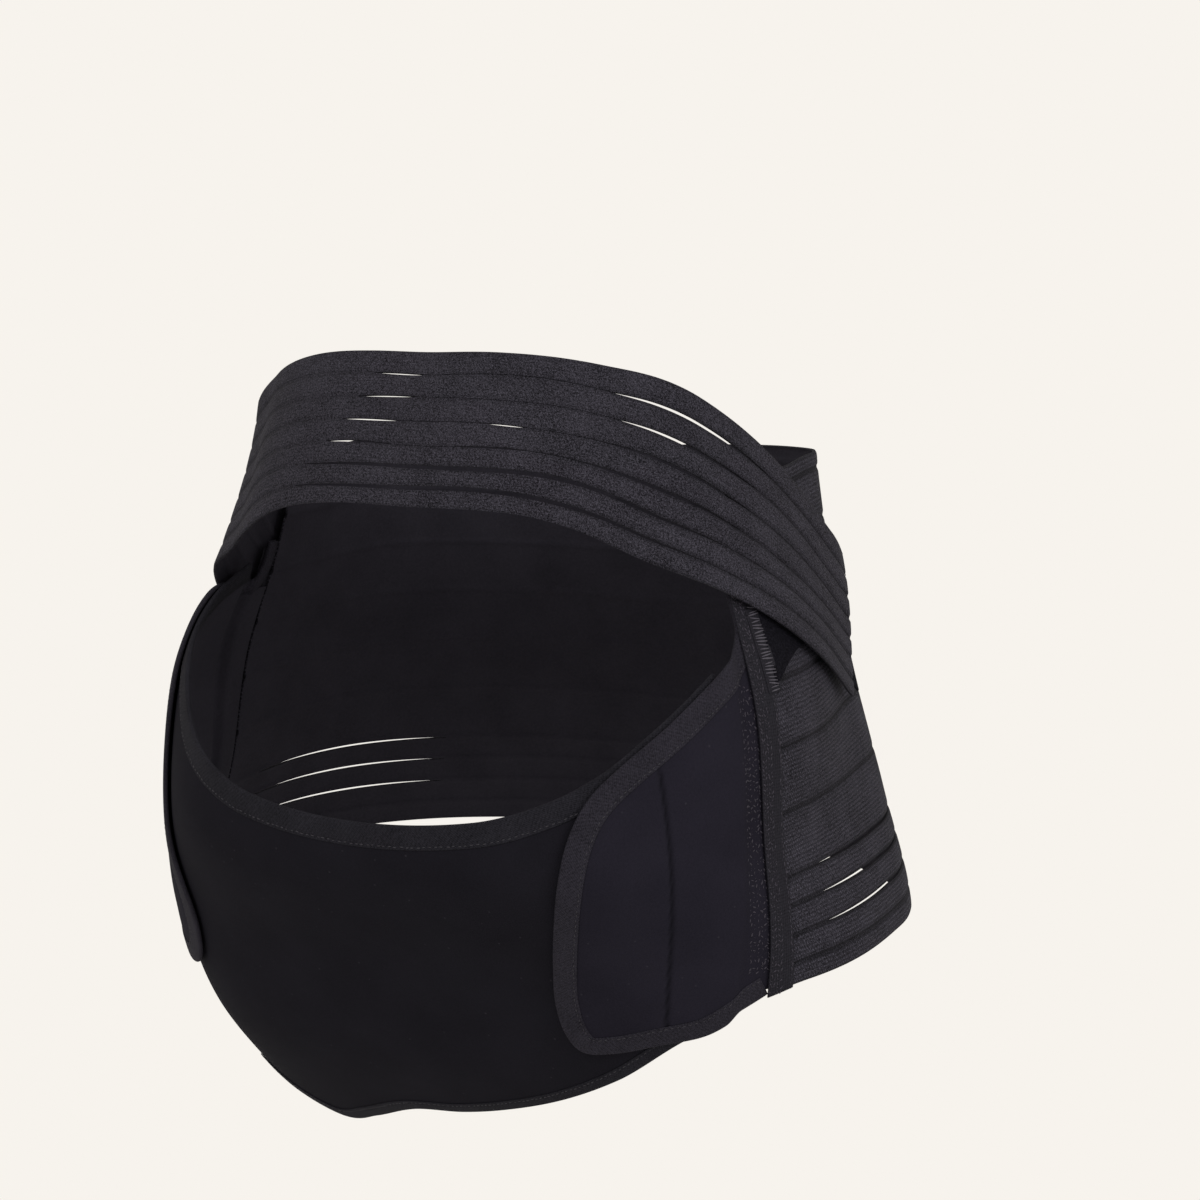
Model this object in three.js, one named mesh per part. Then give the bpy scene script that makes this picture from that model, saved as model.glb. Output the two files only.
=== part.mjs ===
import * as THREE from "three";

// Maternity support belt, in the shape that it keeps when it is worn.
// Millimetres, +Z up. The wearer faces -Y, and +X is the wearer's left.
// The origin lies on the middle line of the waist, at the height of the navel.

// Worn form: the belt follows the outside of a waist and belly.
const formHeight = 400;
const bellyReach = 205;
const hipHalf = 184;
const seatReach = 119;
const flankFill = 15;
const frontPower = 2.6;
const backPower = 2;
const flankAngle = 58;
const flankSpread = 22;

// Cloth walls and the space left between two layers.
const skinGap = 0.4;
const layerGap = 0.5;
const seamGap = 0.4;
const panelThick = 2.4;
const wingThick = 2.2;
const backThick = 2.4;
const bandThick = 2.2;
const tapeThick = 1;
const pileThick = 1.35;
const bindingProud = 0.6;
const grooveDepth = 0.9;

// Widths of the narrow goods.
const bindingWidth = 11;
const hemWidth = 8;
const peakNarrowing = 0.3;
const tapeWidth = 13;
const bandWidth = 77;
// The upper band's ribs from the lowest to the highest, as shares of them all.
const ribShares = [0.128, 0.134, 0.134, 0.147, 0.151, 0.152, 0.154];
const bandRibs = ribShares.length;
const grooveWidth = 1.4;
const slitWidth = 2.6;
const bandSpread = 0.045;
const spreadAngle = 47;
const spreadReach = 14;
const hookLength = 36;
const hookWidth = 50;

// Where the pieces end round the form, in degrees from the middle of the front.
// The belt is worn a little askew, so the two sides differ.
// A side's bandRise is where its half of the upper band lifts over the layers below.
const left = { sign: 1, panelEnd: 47.8, seam: 56.5, bandRise: { from: 34.5, to: 50.5 } };
const right = { sign: -1, panelEnd: 66, seam: 74, bandRise: { from: 44, to: 57 } };
const seamSpace = 0.3;
const wingFall = 2.4;
const wingRise = 4;
const bandEnd = 92;
const loopEnd = 94;
const loopCover = 30;
const loopTop = 0.25;
const loopStart = 1.4;
const tapeTop = 0.16;
const tapeSlant = 0.004;

// Height, front, side, back and flank are shares of the five form sizes above, in that order.
const formRows = [
  { height: -0.575, front: 0.38, side: 0.84, back: 0.99, flank: 0.1 },
  { height: -0.425, front: 0.64, side: 0.99, back: 1.07, flank: 0.15 },
  { height: -0.275, front: 0.8, side: 1.012, back: 1.08, flank: 0.25 },
  { height: -0.125, front: 0.99, side: 0.932, back: 0.99, flank: 0.2 },
  { height: 0.025, front: 0.94, side: 0.838, back: 0.85, flank: 1.15 },
  { height: 0.175, front: 0.82, side: 0.768, back: 0.765, flank: 0.5 },
  { height: 0.325, front: 0.74, side: 0.725, back: 0.725, flank: 0.0 },
  { height: 0.475, front: 0.57, side: 0.74, back: 0.74, flank: 0.0 },
];

// Edges of the pieces. Angles are in degrees, heights are shares of formHeight.
const panelTopRows = [
  { angle: -right.panelEnd, height: 0.145 },
  { angle: -58, height: 0.12 },
  { angle: -50, height: 0.082 },
  { angle: -44, height: 0.05 },
  { angle: -38, height: 0.012 },
  { angle: -32, height: -0.024 },
  { angle: -25, height: -0.052 },
  { angle: -16, height: -0.073 },
  { angle: 0, height: -0.086 },
  { angle: 16, height: -0.076 },
  { angle: 25, height: -0.053 },
  { angle: 32, height: -0.022 },
  { angle: 38, height: 0.016 },
  { angle: 44, height: 0.054 },
  { angle: left.panelEnd, height: 0.077 },
];
const panelHemRows = [
  { angle: -right.panelEnd, height: -0.52 },
  { angle: -60, height: -0.55 },
  { angle: -50, height: -0.57 },
  { angle: -36, height: -0.549 },
  { angle: -17, height: -0.516 },
  { angle: 0, height: -0.504 },
  { angle: 14, height: -0.484 },
  { angle: 27, height: -0.453 },
  { angle: 37, height: -0.41 },
  { angle: 44, height: -0.36 },
  { angle: left.panelEnd, height: -0.337 },
];
// A wing's bound edge, from its peak under the upper band round the D-shaped front and back
// along the hem to the side seam. Angles are degrees forward of the wing's seam.
const leftWingRows = [
  { forward: 3.6, height: 0.19 },
  { forward: 3.3, height: 0.155 },
  { forward: 3, height: 0.124 },
  { forward: 4.4, height: 0.1 },
  { forward: 7, height: 0.081 },
  { forward: 11.5, height: 0.054 },
  { forward: 16.5, height: 0.022 },
  { forward: 22.5, height: -0.017 },
  { forward: 26.5, height: -0.05 },
  { forward: 28.9, height: -0.09 },
  { forward: 30.1, height: -0.14 },
  { forward: 30.5, height: -0.2 },
  { forward: 30.5, height: -0.25 },
  { forward: 30.1, height: -0.3 },
  { forward: 28.5, height: -0.342 },
  { forward: 25.5, height: -0.366 },
  { forward: 20.5, height: -0.364 },
  { forward: 14.5, height: -0.351 },
  { forward: 8.5, height: -0.339 },
  { forward: 4, height: -0.315 },
  { forward: 0.5, height: -0.298 },
];
const rightWingRows = [
  { forward: 3.6, height: 0.17 },
  { forward: 3.5, height: 0.14 },
  { forward: 4.8, height: 0.118 },
  { forward: 8, height: 0.116 },
  { forward: 13, height: 0.12 },
  { forward: 18.5, height: 0.11 },
  { forward: 24.5, height: 0.072 },
  { forward: 28.5, height: 0.01 },
  { forward: 30.3, height: -0.05 },
  { forward: 31.2, height: -0.12 },
  { forward: 31.4, height: -0.18 },
  { forward: 31, height: -0.23 },
  { forward: 29.5, height: -0.28 },
  { forward: 26.5, height: -0.325 },
  { forward: 22.5, height: -0.35 },
  { forward: 17.5, height: -0.356 },
  { forward: 12, height: -0.345 },
  { forward: 7.5, height: -0.328 },
  { forward: 4, height: -0.312 },
  { forward: 0.5, height: -0.298 },
];
// The back panel's edges, by degrees behind the nearer seam.
const backTopRows = [
  { angle: 0, height: 0.285 },
  { angle: 20, height: 0.293 },
  { angle: 35, height: 0.303 },
  { angle: 60, height: 0.3 },
  { angle: 110, height: 0.289 },
];
const backHemRows = [
  { angle: 0, height: -0.296 },
  { angle: 6, height: -0.289 },
  { angle: 26, height: -0.281 },
  { angle: 60, height: -0.273 },
  { angle: 110, height: -0.27 },
];
// How the side tape leans: degrees behind the seam at each height.
const tapeLeanRows = [
  { height: -0.3, angle: 1.2 },
  { height: -0.09, angle: -0.4 },
  { height: 0.06, angle: -1 },
  { height: 0.16, angle: -1.2 },
];
// Foot of the loop patch, by degrees behind its front edge.
const loopFootRows = [
  { angle: 0, height: 0.052 },
  { angle: 4.5, height: 0.076 },
  { angle: 9, height: 0.088 },
  { angle: 60, height: 0.1 },
];
const bandMiddleRows = [
  { angle: 0, height: 0.345 },
  { angle: 15, height: 0.345 },
  { angle: 27, height: 0.337 },
  { angle: 38, height: 0.316 },
  { angle: 48, height: 0.281 },
  { angle: 60, height: 0.232 },
  { angle: 70, height: 0.187 },
  { angle: 80, height: 0.139 },
  { angle: 93, height: 0.083 },
  { angle: 100, height: 0.06 },
];

// Lines between the ribs of the back panel, as shares of its height from hem to top.
const backRibRows = [
  { share: 0.045, slit: false },
  { share: 0.097, slit: true },
  { share: 0.156, slit: true },
  { share: 0.213, slit: true },
  { share: 0.351, slit: false },
  { share: 0.484, slit: false },
  { share: 0.61, slit: false },
  { share: 0.73, slit: false },
  { share: 0.86, slit: false },
  { share: 0.965, slit: false },
];
const backSlit = { from: 9, to: 52 };

// Slits between the ribs of the upper band, counted from the lowest groove.
const bandSlitRows = [
  { groove: 0, from: -25, to: 53 },
  { groove: 1, from: -22, to: 56 },
  { groove: 2, from: -18, to: -4 },
  { groove: 2, from: 9, to: 22 },
  { groove: 2, from: 30, to: 58 },
  { groove: 3, from: -16, to: -3 },
  { groove: 3, from: 14, to: 21 },
  { groove: 3, from: 34, to: 59 },
  { groove: 4, from: -14, to: -1 },
  { groove: 4, from: 35, to: 59 },
  { groove: 5, from: -12.5, to: 0 },
  { groove: 5, from: 33, to: 62 },
];

// How finely the curved walls are faceted.
const panelColumns = 28;
const panelCourses = 11;
const wingCourses = 12;
const backColumns = 34;
const bandColumns = 36;
const wingColumns = 40;
const peakColumns = 4;
const tapeCourses = 14;
const loopColumns = 8;
const probe = 0.5;

const degrees = 180 / Math.PI;

// A smooth curve through one column of a table, at x.
function through(rows, x, along, column) {
  const last = rows.length - 1;
  const clamped = Math.min(Math.max(x, rows[0][along]), rows[last][along]);
  let k = 0;
  while (k < last - 1 && rows[k + 1][along] < clamped) k += 1;
  const slope = (n) => {
    const before = rows[Math.max(n - 1, 0)];
    const after = rows[Math.min(n + 1, last)];
    return (after[column] - before[column]) / (after[along] - before[along]);
  };
  const step = rows[k + 1][along] - rows[k][along];
  const t = (clamped - rows[k][along]) / step;
  const rise = t * t * (3 - 2 * t);
  return (1 - rise) * rows[k][column] + rise * rows[k + 1][column]
    + t * (1 - t) ** 2 * slope(k) * step - t * t * (1 - t) * slope(k + 1) * step;
}

function ramp(x, from, to) {
  return THREE.MathUtils.smoothstep(x, from, to);
}

// Distance from the middle line to the worn form.
function reach(angle, height) {
  const at = (column) => through(formRows, height / formHeight, "height", column);
  const side = Math.abs(Math.sin(angle / degrees)) / (at("side") * hipHalf);
  const ahead = Math.cos(angle / degrees);
  const power = ahead >= 0 ? frontPower : backPower;
  const depth = ahead >= 0 ? at("front") * bellyReach : at("back") * seatReach;
  const turned = Math.abs(THREE.MathUtils.euclideanModulo(angle + 180, 360) - 180);
  const flank = Math.exp(-(((turned - flankAngle) / flankSpread) ** 2));
  return (side ** power + (Math.abs(ahead) / depth) ** power) ** (-1 / power) + flankFill * at("flank") * flank;
}

function onForm(angle, height) {
  const out = reach(angle, height);
  return new THREE.Vector3(out * Math.sin(angle / degrees), -out * Math.cos(angle / degrees), height);
}

// A point lifted off the form, square to it.
function lifted(angle, height, lift) {
  const across = onForm(angle + probe, height).sub(onForm(angle - probe, height));
  const up = onForm(angle, height + probe).sub(onForm(angle, height - probe));
  return onForm(angle, height).addScaledVector(across.cross(up).normalize(), lift);
}

// Millimetres along the form for one degree round it, and for one millimetre of height.
function stretch(angle, height) {
  const round = onForm(angle + probe, height).distanceTo(onForm(angle - probe, height)) / (2 * probe);
  const rise = onForm(angle, height + probe).distanceTo(onForm(angle, height - probe)) / (2 * probe);
  return { round, rise };
}

function evenShares(count) {
  return Array.from({ length: count + 1 }, (_, k) => k / count);
}

// Points spread evenly along the smooth curve of a table of angles and heights.
function line(rows, steps, from, to) {
  return evenShares(steps).map((share) => {
    const angle = from + (to - from) * share;
    return { angle, height: through(rows, angle, "angle", "height") * formHeight };
  });
}

// The same for a line that turns back on itself, followed by its row numbers.
function course(points, steps) {
  const counted = points.map((point, order) => ({ ...point, order }));
  return evenShares(steps).map((share) => {
    const at = share * (points.length - 1);
    return { angle: through(counted, at, "order", "angle"), height: through(counted, at, "order", "height") };
  });
}

// A path moved sideways over the form, to the left of the way it runs when seen from outside.
function shifted(path, width) {
  return path.map((point, k) => {
    const before = path[Math.max(k - 1, 0)];
    const after = path[Math.min(k + 1, path.length - 1)];
    const { round, rise } = stretch(point.angle, point.height);
    const along = (after.angle - before.angle) * round;
    const up = (after.height - before.height) * rise;
    const length = Math.hypot(along, up);
    const move = typeof width === "function" ? width(point) : width;
    return {
      angle: point.angle - (up / length) * (move / round),
      height: point.height + (along / length) * (move / rise),
    };
  });
}

// Rows of points from one path to another that has as many points.
function between(first, second, shares) {
  return first.map((low, k) => shares.map((share) => ({
    angle: low.angle + (second[k].angle - low.angle) * share,
    height: low.height + (second[k].height - low.height) * share,
  })));
}

// Rows given by degrees forward of a seam, as places on that side of the form.
function fromSeam(side, rows) {
  return rows.map((row) => ({ angle: side.sign * (side.seam - row.forward), height: row.height * formHeight }));
}

// A closed cloth wall over a grid of points. Lifts are heights off the form, open cells are cut through.
function wall(grid, inner, outer, open = () => false) {
  const columns = grid.length - 1;
  const rows = grid[0].length - 1;
  const positions = [];
  const triangles = [];
  const used = new Map();
  const isCell = (i, j) => i >= 0 && j >= 0 && i < columns && j < rows && !open(i, j);
  const corner = (i, j, side) => {
    const key = (i * (rows + 1) + j) * 2 + side;
    if (!used.has(key)) {
      used.set(key, positions.length / 3);
      const { angle, height } = grid[i][j];
      positions.push(...lifted(angle, height, (side ? outer : inner)(angle, height, j)).toArray());
    }
    return used.get(key);
  };
  const quad = (a, b, c, d) => triangles.push(a, b, c, a, c, d);
  for (let i = 0; i < columns; i += 1) {
    for (let j = 0; j < rows; j += 1) {
      if (!isCell(i, j)) continue;
      quad(corner(i, j, 1), corner(i + 1, j, 1), corner(i + 1, j + 1, 1), corner(i, j + 1, 1));
      quad(corner(i, j, 0), corner(i, j + 1, 0), corner(i + 1, j + 1, 0), corner(i + 1, j, 0));
      if (!isCell(i, j - 1)) quad(corner(i, j, 0), corner(i + 1, j, 0), corner(i + 1, j, 1), corner(i, j, 1));
      if (!isCell(i + 1, j)) {
        quad(corner(i + 1, j, 0), corner(i + 1, j + 1, 0), corner(i + 1, j + 1, 1), corner(i + 1, j, 1));
      }
      if (!isCell(i, j + 1)) {
        quad(corner(i + 1, j + 1, 0), corner(i, j + 1, 0), corner(i, j + 1, 1), corner(i + 1, j + 1, 1));
      }
      if (!isCell(i - 1, j)) quad(corner(i, j + 1, 0), corner(i, j, 0), corner(i, j, 1), corner(i, j + 1, 1));
    }
  }
  return outward(positions, triangles);
}

// The closed mesh with its faces turned outwards, whichever way round its grid ran.
function outward(positions, triangles) {
  const vertex = (k) => new THREE.Vector3().fromArray(positions, triangles[k] * 3);
  let volume = 0;
  for (let k = 0; k < triangles.length; k += 3) volume += vertex(k).dot(vertex(k + 1).cross(vertex(k + 2)));
  if (volume < 0) triangles.reverse();
  const geometry = new THREE.BufferGeometry();
  geometry.setAttribute("position", new THREE.Float32BufferAttribute(positions, 3));
  geometry.setIndex(triangles);
  geometry.computeVertexNormals();
  return geometry;
}

const elastic = new THREE.MeshStandardMaterial({ color: 0x2b2a2e, roughness: 0.85, metalness: 0 });
const smoothCloth = new THREE.MeshStandardMaterial({ color: 0x17161a, roughness: 0.9, metalness: 0 });
const bindingCloth = new THREE.MeshStandardMaterial({ color: 0x201f23, roughness: 0.8, metalness: 0 });
const pile = new THREE.MeshStandardMaterial({ color: 0x121114, roughness: 1, metalness: 0 });

const belt = new THREE.Group();

function add(name, geometry, material) {
  const mesh = new THREE.Mesh(geometry, material);
  mesh.name = name;
  belt.add(mesh);
}

// Layers, as heights off the form.
const skin = () => skinGap;
const panelOuter = () => skinGap + panelThick;
const bindingOuter = () => skinGap + panelThick + bindingProud;
const wingSeat = skinGap + panelThick + bindingProud + layerGap;
const tapeSeat = skinGap + wingThick + bindingProud + layerGap;
const loopSeat = skinGap + backThick + layerGap;
const hookSeat = loopSeat + pileThick + layerGap;
const bandSeat = hookSeat + pileThick + layerGap;
const sideOf = (angle) => (angle > 0 ? left : right);

// A wing lies on the front panel and comes down to the form before its seam.
function wingInner(angle) {
  const side = sideOf(angle);
  return wingSeat - (wingSeat - skinGap) * ramp(Math.abs(angle), side.panelEnd + wingFall, side.seam - wingRise);
}

// The upper band lies on the form in front and on the loop patches at the sides.
function bandInner(angle) {
  const { from, to } = sideOf(angle).bandRise;
  return skinGap + (bandSeat - skinGap) * ramp(Math.abs(angle), from, to);
}

// Front panel with the binding on its dipping top edge and the turned hem below.
const panelTop = line(panelTopRows, panelColumns, -right.panelEnd, left.panelEnd);
const panelHem = line(panelHemRows, panelColumns, -right.panelEnd, left.panelEnd);
const underBinding = shifted(panelTop, -bindingWidth);
const overHem = shifted(panelHem, hemWidth);
const panelGrid = between(shifted(overHem, seamGap), shifted(underBinding, -seamGap), evenShares(panelCourses));
add("front_panel", wall(panelGrid, skin, panelOuter), smoothCloth);
add("front_top_binding", wall(between(underBinding, panelTop, evenShares(2)), skin, bindingOuter), bindingCloth);
add("front_hem_binding", wall(between(panelHem, overHem, evenShares(2)), skin, bindingOuter), bindingCloth);

// Side wing: a D-shaped flap over one end of the front panel, bound round its free edge.
// Its columns join its upper edge to its lower one, from one along the seam to one along the
// front. The narrow peak that runs up beside the seam is all binding, which is narrower there.
function addWing(name, side, edgeRows) {
  const edge = course(fromSeam(side, edgeRows), wingColumns);
  const narrow = ({ height }) => bindingWidth * (1 - peakNarrowing * ramp(height / formHeight, 0.07, 0.12));
  const inward = (point) => side.sign * narrow(point);
  const body = shifted(edge, (point) => side.sign * (narrow(point) + seamGap));
  const top = (wingColumns + peakColumns - wingCourses) / 2;
  const foot = top + wingCourses + 1;
  const shares = evenShares(wingCourses);
  const columns = between(body.slice(foot).reverse(), body.slice(peakColumns, top), shares);
  const low = columns[0][0].height;
  const high = columns[0][wingCourses].height;
  const atSeam = shares.map((share) => ({
    angle: side.sign * (side.seam - seamSpace),
    height: low + (high - low) * share,
  }));
  const front = body.slice(top, foot).reverse();
  const outer = (angle) => wingInner(angle) + wingThick;
  const proud = (angle) => outer(angle) + bindingProud;
  add(`wing_${name}`, wall([atSeam, ...columns, front], wingInner, outer), smoothCloth);
  const binding = between(edge, shifted(edge, inward), evenShares(2));
  add(`wing_binding_${name}`, wall(binding, wingInner, proud), bindingCloth);
}
addWing("left", left, leftWingRows);
addWing("right", right, rightWingRows);

// Back panel: ribbed elastic from one side seam round the back to the other.
function backLine(rows) {
  const start = left.seam + seamSpace;
  const end = 360 - right.seam - seamSpace;
  return evenShares(backColumns).map((share) => {
    const angle = start + (end - start) * share;
    const behind = Math.min(angle - start, end - angle);
    return { angle, behind, height: through(rows, behind, "angle", "height") * formHeight };
  });
}

function backPanel() {
  const shares = [0];
  const levels = [0];
  const slitCells = new Set();
  let below = 0;
  for (const { share, slit } of [...backRibRows, { share: 1, slit: false }]) {
    shares.push((below + share) / 2, share);
    levels.push(1, 0);
    below = share;
    if (!slit) continue;
    slitCells.add(shares.length - 1);
    below = share + slitWidth / formHeight;
    shares.push(below);
    levels.push(0);
  }
  const hem = backLine(backHemRows);
  const outer = (angle, height, j) => skinGap + backThick - grooveDepth * (1 - levels[j]);
  const open = (i, j) => {
    const behind = (hem[i].behind + hem[i + 1].behind) / 2;
    return slitCells.has(j) && behind > backSlit.from && behind < backSlit.to;
  };
  return wall(between(hem, backLine(backTopRows), shares), skin, outer, open);
}
add("back_panel", backPanel(), elastic);

// A flat strip or patch of one thickness, lying at a height off the form.
function flat(grid, seat, thick) {
  return wall(grid, () => seat, () => seat + thick);
}

// Tape over each side seam, and the pile patch behind it that the upper band fastens to.
// The tape's foot is cut along the hem, which climbs towards the back.
function addTape(name, side) {
  const edge = (forward) => {
    const foot = (backHemRows[0].height - forward * tapeSlant) * formHeight;
    const middle = evenShares(tapeCourses).map((share) => {
      const height = foot + (tapeTop * formHeight - foot) * share;
      const lean = through(tapeLeanRows, height / formHeight, "height", "angle");
      return { angle: side.sign * (side.seam + lean), height };
    });
    return shifted(middle, side.sign * forward * tapeWidth / 2);
  };
  const grid = between(edge(-1), edge(1), [0, 1]);
  add(`side_tape_${name}`, flat(grid, tapeSeat, tapeThick), bindingCloth);
}

function bandHeight(angle) {
  return through(bandMiddleRows, Math.abs(angle), "angle", "height") * formHeight;
}

function loopFoot(behind) {
  return through(loopFootRows, behind, "angle", "height") * formHeight;
}

// The patch runs down beside the seam and then follows the band that lies over it.
function addLoop(name, side) {
  const start = side.seam + loopStart;
  const edge = (height) => evenShares(loopColumns).map((share) => {
    const behind = (loopEnd - start) * share;
    return { angle: side.sign * (start + behind), height: height(behind, bandHeight(start + behind)) };
  });
  const foot = edge((behind, band) => Math.min(loopFoot(behind), band - loopCover));
  const top = edge((behind, band) => Math.min(loopTop * formHeight, band + loopCover));
  add(`loop_patch_${name}`, flat(between(foot, top, evenShares(3)), loopSeat, pileThick), pile);
}
addTape("left", left);
addTape("right", right);
addLoop("left", left);
addLoop("right", right);

// Upper band: one ribbed strap, cut through where its ribs part.
const ribRoom = bandWidth - (bandRibs - 1) * grooveWidth;

function bandMiddle(from, to, steps) {
  return evenShares(steps).map((share) => {
    const angle = from + (to - from) * share;
    return { angle, height: bandHeight(angle) };
  });
}

function slitAt(groove, angle) {
  return bandSlitRows.find((row) => row.groove === groove && angle > row.from && angle < row.to);
}

// Half of the way between two ribs, which opens along a slit.
function parting(groove, angle) {
  const slit = slitAt(groove, angle);
  if (!slit) return grooveWidth / 2;
  const along = (angle - slit.from) / (slit.to - slit.from);
  return (grooveWidth + (slitWidth - grooveWidth) * Math.sin(Math.PI * along)) / 2;
}

// The band is a little wider where its long slits gape, on the wearer's left.
function spread(angle) {
  return 1 + bandSpread * Math.exp(-(((angle - spreadAngle) / spreadReach) ** 2));
}

function upperBand() {
  const middle = bandMiddle(-bandEnd, bandEnd, bandColumns);
  const paths = [];
  const levels = [];
  let rise = -bandWidth / 2;
  for (let rib = 0; rib < bandRibs; rib += 1) {
    const foot = rise;
    const head = foot + ribShares[rib] * ribRoom;
    rise = head + grooveWidth;
    const under = (angle) => (rib === 0 ? foot : foot - grooveWidth / 2 + parting(rib - 1, angle));
    const over = (angle) => (rib === bandRibs - 1 ? head : head + grooveWidth / 2 - parting(rib, angle));
    for (const across of [under, () => (foot + head) / 2, over]) {
      paths.push(shifted(middle, ({ angle }) => across(angle) * spread(angle)));
    }
    levels.push(0, 1, 0);
  }
  const grid = middle.map((_, i) => paths.map((path) => path[i]));
  const outer = (angle, height, j) => bandInner(angle) + bandThick - grooveDepth * (1 - levels[j]);
  const open = (i, j) => j % 3 === 2 && Boolean(slitAt((j - 2) / 3, (middle[i].angle + middle[i + 1].angle) / 2));
  return wall(grid, bandInner, outer, open);
}
add("upper_band", upperBand(), elastic);

// Hook tab sewn inside each end of the upper band.
function addHook(name, side) {
  const start = bandEnd - hookLength / stretch(bandEnd, 0).round;
  const middle = bandMiddle(side.sign * start, side.sign * (bandEnd - 1), 4);
  const grid = between(shifted(middle, -hookWidth / 2), shifted(middle, hookWidth / 2), evenShares(3));
  add(`band_hook_${name}`, flat(grid, hookSeat, pileThick), pile);
}
addHook("left", left);
addHook("right", right);

export default belt;
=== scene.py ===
"""Maternity support belt in the shape that it keeps when worn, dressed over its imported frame."""
import math

import bmesh
import bpy
import numpy as np
from mathutils import Matrix, Vector


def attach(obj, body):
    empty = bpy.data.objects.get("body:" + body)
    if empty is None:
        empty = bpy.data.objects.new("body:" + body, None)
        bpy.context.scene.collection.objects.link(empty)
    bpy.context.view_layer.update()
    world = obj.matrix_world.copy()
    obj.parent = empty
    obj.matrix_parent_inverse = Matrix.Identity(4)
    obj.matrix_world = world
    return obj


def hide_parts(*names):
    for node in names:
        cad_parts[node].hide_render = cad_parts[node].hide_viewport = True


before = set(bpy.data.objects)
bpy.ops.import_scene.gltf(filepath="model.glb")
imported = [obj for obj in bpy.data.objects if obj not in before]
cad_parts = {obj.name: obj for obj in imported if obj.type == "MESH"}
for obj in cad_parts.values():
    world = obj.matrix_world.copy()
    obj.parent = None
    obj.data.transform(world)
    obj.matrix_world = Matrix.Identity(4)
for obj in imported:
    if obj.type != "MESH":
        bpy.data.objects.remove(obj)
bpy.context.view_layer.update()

# Front panel: the smooth foam-backed knit that carries the belly from below. It is cut with
# a dipping upper edge and a deep hem, and is held stretched. Every piece of the belt follows
# the same round form, so that form and the way a cloth is laid on it are worked out here.
MM = 0.001
FORM_HEIGHT = 0.400
BELLY_REACH = 0.205
HIP_HALF = 0.184
SEAT_REACH = 0.119
FLANK_FILL = 0.015
FRONT_POWER = 2.6
BACK_POWER = 2
FLANK_ANGLE = 58
FLANK_SPREAD = 22
SWAY = 0.5 * MM
PROBE = 0.5
SKIN_GAP = 0.4 * MM
PANEL_THICK = 2.4 * MM
PANEL_WALL = 1.3 * MM
PANEL_SINK = 0.4 * MM
BINDING_PROUD = 0.6 * MM
SEWN_FLAT = 0.3 * MM
BINDING_WIDTH = 11 * MM
HEM_WIDTH = 8 * MM
TUCK = 3 * MM
# A side's band_rise is where its half of the upper band lifts over the layers below.
LEFT = {"name": "left", "sign": 1, "panel_end": 47.8, "seam": 56.5, "band_rise": (34.5, 50.5)}
RIGHT = {"name": "right", "sign": -1, "panel_end": 66, "seam": 74, "band_rise": (44, 57)}

# Height, front, side, back and flank, each as a share of the form's own size for it.
FORM_ROWS = (
    (-0.575, 0.38, 0.84, 0.99, 0.10),
    (-0.425, 0.64, 0.99, 1.07, 0.15),
    (-0.275, 0.80, 1.012, 1.08, 0.25),
    (-0.125, 0.99, 0.932, 0.99, 0.20),
    (0.025, 0.94, 0.838, 0.85, 1.15),
    (0.175, 0.82, 0.768, 0.765, 0.50),
    (0.325, 0.74, 0.725, 0.725, 0.00),
    (0.475, 0.57, 0.74, 0.74, 0.00),
)
# Degrees round the form from the middle of the front, and share of the form's height.
PANEL_TOP_ROWS = (
    (-RIGHT["panel_end"], 0.145), (-58, 0.12), (-50, 0.082), (-44, 0.05), (-38, 0.012), (-32, -0.024),
    (-25, -0.052), (-16, -0.073), (0, -0.086), (16, -0.076), (25, -0.053), (32, -0.022), (38, 0.016),
    (44, 0.054), (LEFT["panel_end"], 0.077),
)
PANEL_HEM_ROWS = (
    (-RIGHT["panel_end"], -0.52), (-60, -0.55), (-50, -0.57), (-36, -0.549), (-17, -0.516), (0, -0.504),
    (14, -0.484), (27, -0.453), (37, -0.41), (44, -0.36), (LEFT["panel_end"], -0.337),
)


def through(rows, x, column=1):
    """A smooth curve through one column of a table, over its first column."""
    at = np.array([row[0] for row in rows], float)
    value = np.array([row[column] for row in rows], float)
    last = len(rows) - 1
    before = np.maximum(np.arange(last + 1) - 1, 0)
    after = np.minimum(np.arange(last + 1) + 1, last)
    slope = (value[after] - value[before]) / (at[after] - at[before])
    x = np.clip(x, at[0], at[last])
    k = np.clip(np.searchsorted(at, x) - 1, 0, last - 1)
    step = at[k + 1] - at[k]
    t = (x - at[k]) / step
    rise = t * t * (3 - 2 * t)
    bend = t * (1 - t) ** 2 * slope[k] * step - t * t * (1 - t) * slope[k + 1] * step
    return (1 - rise) * value[k] + rise * value[k + 1] + bend


def reach(angle, height):
    """Distance from the middle line to the worn form."""
    front, side, back, flank = (through(FORM_ROWS, height / FORM_HEIGHT, k) for k in (1, 2, 3, 4))
    turn = np.radians(angle)
    ahead = np.cos(turn)
    power = np.where(ahead >= 0, FRONT_POWER, BACK_POWER)
    depth = np.where(ahead >= 0, front * BELLY_REACH, back * SEAT_REACH)
    across = np.abs(np.sin(turn)) / (side * HIP_HALF)
    trunk = (across**power + (np.abs(ahead) / depth) ** power) ** (-1 / power)
    turned = np.abs((angle + 180) % 360 - 180)
    fill = FLANK_FILL * flank * np.exp(-(((turned - FLANK_ANGLE) / FLANK_SPREAD) ** 2))
    sway = np.sin(7 * turn + 31 * height) + np.sin(11 * turn - 47 * height + 1.3)
    return trunk + fill + SWAY * sway / 2


def on_form(angle, height):
    out = reach(angle, height)
    turn = np.radians(angle)
    return np.stack([out * np.sin(turn), -out * np.cos(turn), height + 0 * out], axis=-1)


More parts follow.
